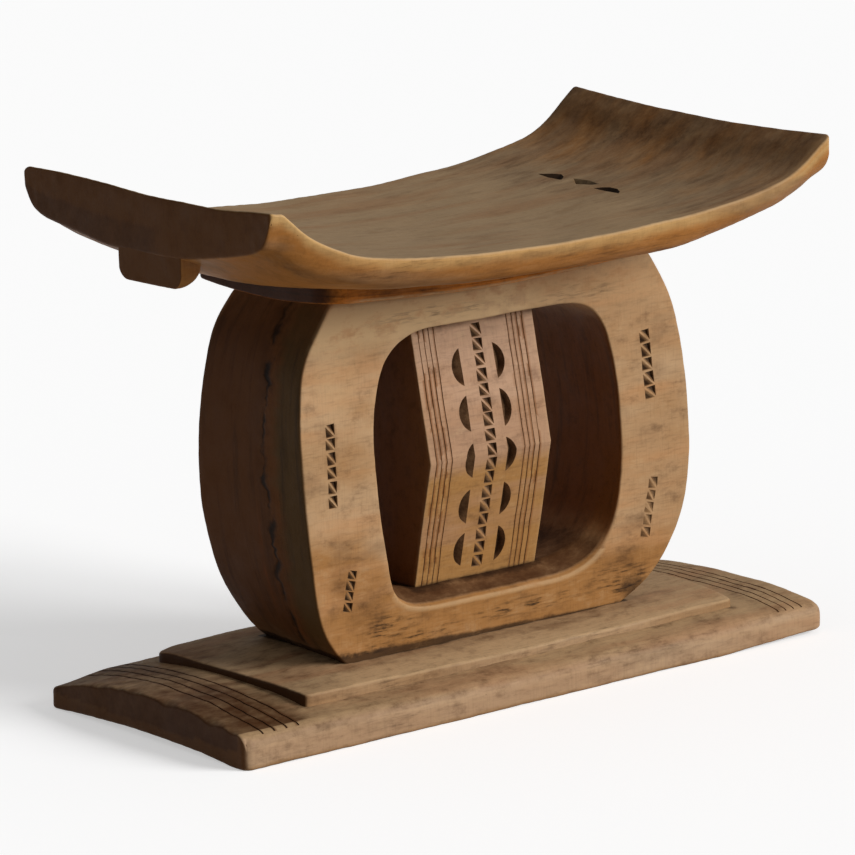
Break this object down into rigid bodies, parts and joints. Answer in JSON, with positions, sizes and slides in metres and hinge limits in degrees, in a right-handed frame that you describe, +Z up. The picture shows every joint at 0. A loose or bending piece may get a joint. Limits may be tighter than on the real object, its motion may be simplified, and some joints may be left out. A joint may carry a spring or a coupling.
{
  "type": "ashanti stool",
  "caption": "Carved wooden stool with an up-swept saddle seat, a closed ring with an angular post inside it, a low plinth and a wide foot slab.",
  "frame": {"origin": "middle of the foot slab's underside, on the floor", "axes": "+X along the seat to the right, +Y to the back, +Z up"},
  "size_m": [0.563, 0.2982, 0.402],
  "materials": {
    "base_slab": "worn, waxed and stained hardwood",
    "plinth": "worn, waxed and stained hardwood",
    "ring": "worn, waxed and stained hardwood",
    "column": "worn, waxed and stained hardwood",
    "seat_ledge": "worn, waxed and stained hardwood",
    "seat": "worn, waxed and stained hardwood",
    "lug_left": "worn, waxed and stained hardwood",
    "lug_right": "worn, waxed and stained hardwood"
  },
  "bodies": {
    "root": {"base_slab": "base_slab", "plinth": "plinth", "ring": "ring", "column": "column", "seat_ledge": "seat_ledge", "seat": "seat", "lug_left": "lug_left", "lug_right": "lug_right"}
  },
  "joints": []
}
